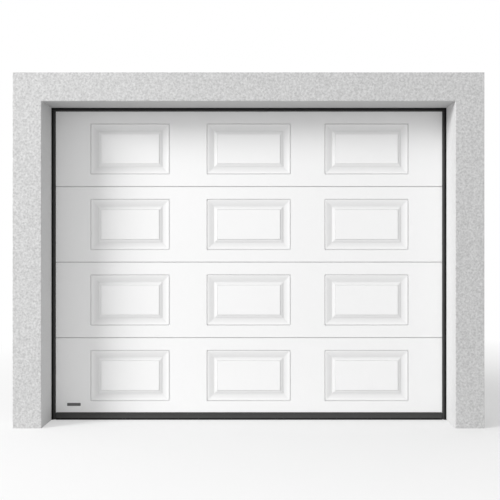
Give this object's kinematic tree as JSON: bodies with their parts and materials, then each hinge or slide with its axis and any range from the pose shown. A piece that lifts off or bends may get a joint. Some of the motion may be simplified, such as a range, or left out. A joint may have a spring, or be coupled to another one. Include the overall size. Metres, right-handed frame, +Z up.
{
  "type": "sectional garage door",
  "caption": "Closed white sectional garage door with stamped panels, dark seals and rear torsion springs, set behind a light grey stucco doorway.",
  "frame": {"origin": "middle of the doorway and of the leaf's thickness, at floor level, on the floor seal's foot", "axes": "+X to the right seen from outside, +Y into the garage, +Z up"},
  "size_m": [2.85, 2.632, 2.25],
  "materials": {
    "stucco": "matte",
    "leaf_skin": "satin",
    "galvanised_steel": "satin",
    "black_rubber": "matte",
    "dark_profile": "satin",
    "roller_nylon": "satin",
    "bright_steel": "satin",
    "spring_steel": "satin",
    "cast_aluminium": "satin",
    "cable_steel": "satin"
  },
  "bodies": {
    "root": {"bottom_brackets": "galvanised_steel", "cable_drums": "cast_aluminium", "cable_pulleys": "cast_aluminium", "centre_hinges": "galvanised_steel", "curved_tracks": "galvanised_steel", "flag_brackets": "galvanised_steel", "floor_seal": "black_rubber", "floor_seal_holder": "dark_profile", "frame_angle_left": "galvanised_steel", "frame_angle_right": "galvanised_steel", "head_frame": "galvanised_steel", "head_seal": "black_rubber", "horizontal_track_left": "galvanised_steel", "horizontal_track_right": "galvanised_steel", "lift_cables": "cable_steel", "rear_cross_rail": "galvanised_steel", "roller_carriers": "galvanised_steel", "roller_hinges": "galvanised_steel", "rollers": "roller_nylon", "section_1": "leaf_skin", "section_2": "leaf_skin", "section_3": "leaf_skin", "section_4": "leaf_skin", "section_end_caps": "galvanised_steel", "shaft_centre_bracket": "galvanised_steel", "shaft_end_plates": "galvanised_steel", "side_seal_left": "black_rubber", "side_seal_right": "black_rubber", "spring_cones": "cast_aluminium", "torsion_shaft": "bright_steel", "torsion_springs": "spring_steel", "track_hangers": "galvanised_steel", "vertical_track_left": "galvanised_steel", "vertical_track_right": "galvanised_steel", "wall_lintel": "stucco", "wall_pier_left": "stucco", "wall_pier_right": "stucco"}
  },
  "joints": []
}
